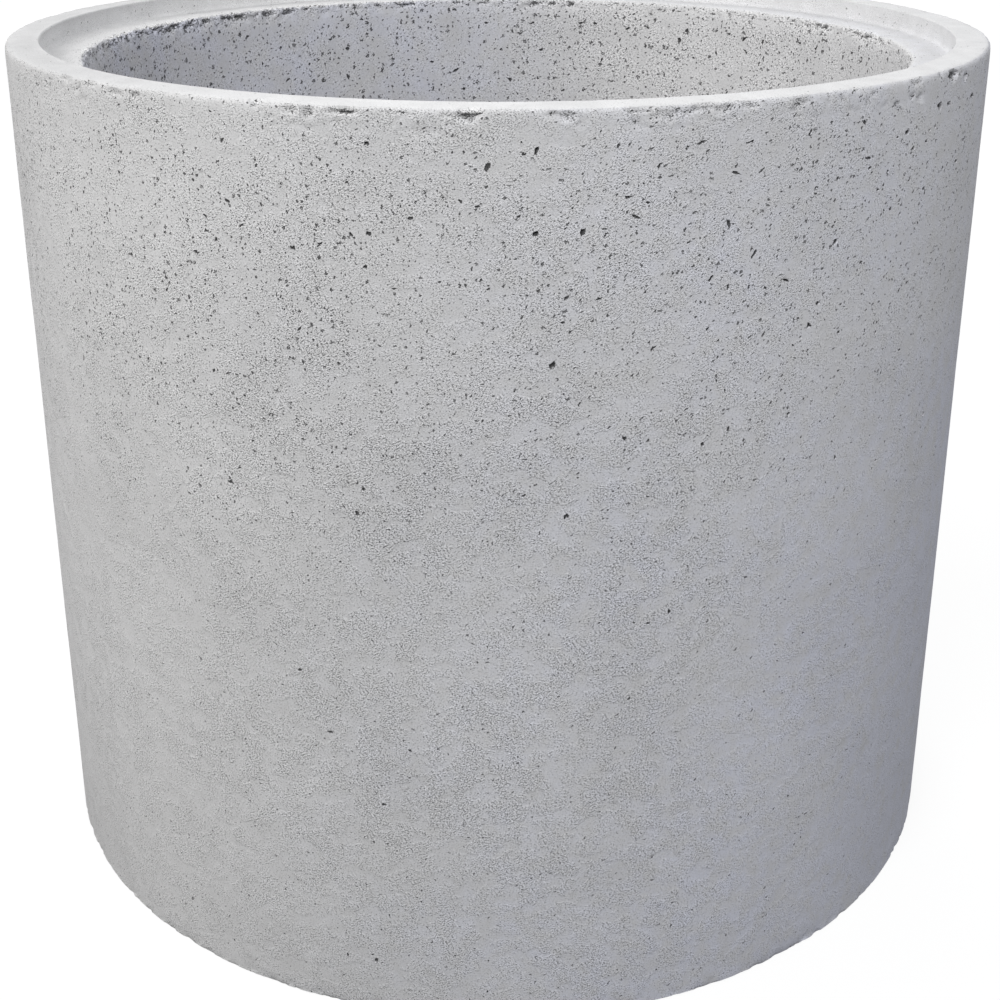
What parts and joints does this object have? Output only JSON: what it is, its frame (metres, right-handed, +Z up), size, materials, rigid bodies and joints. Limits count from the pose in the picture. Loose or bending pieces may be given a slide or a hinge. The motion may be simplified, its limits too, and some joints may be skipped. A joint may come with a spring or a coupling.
{
  "type": "manhole ring with base",
  "caption": "Concrete manhole base ring cast in one piece: a round open-topped chamber with a flat closed floor and a rebated rim whose raised lip centres the next ring on a ledge.",
  "frame": {"origin": "centre of the underside, where the ring stands on the ground", "axes": "+Z up along the ring's axis, towards the open top; X and Y lie in the underside, and the ring is the same all round"},
  "size_m": [1.1799, 1.18, 1.02],
  "materials": {
    "concrete": "dry-cast grey concrete, matt, pitted with small blow holes"
  },
  "bodies": {
    "root": {"manhole_ring": "concrete"}
  },
  "joints": []
}
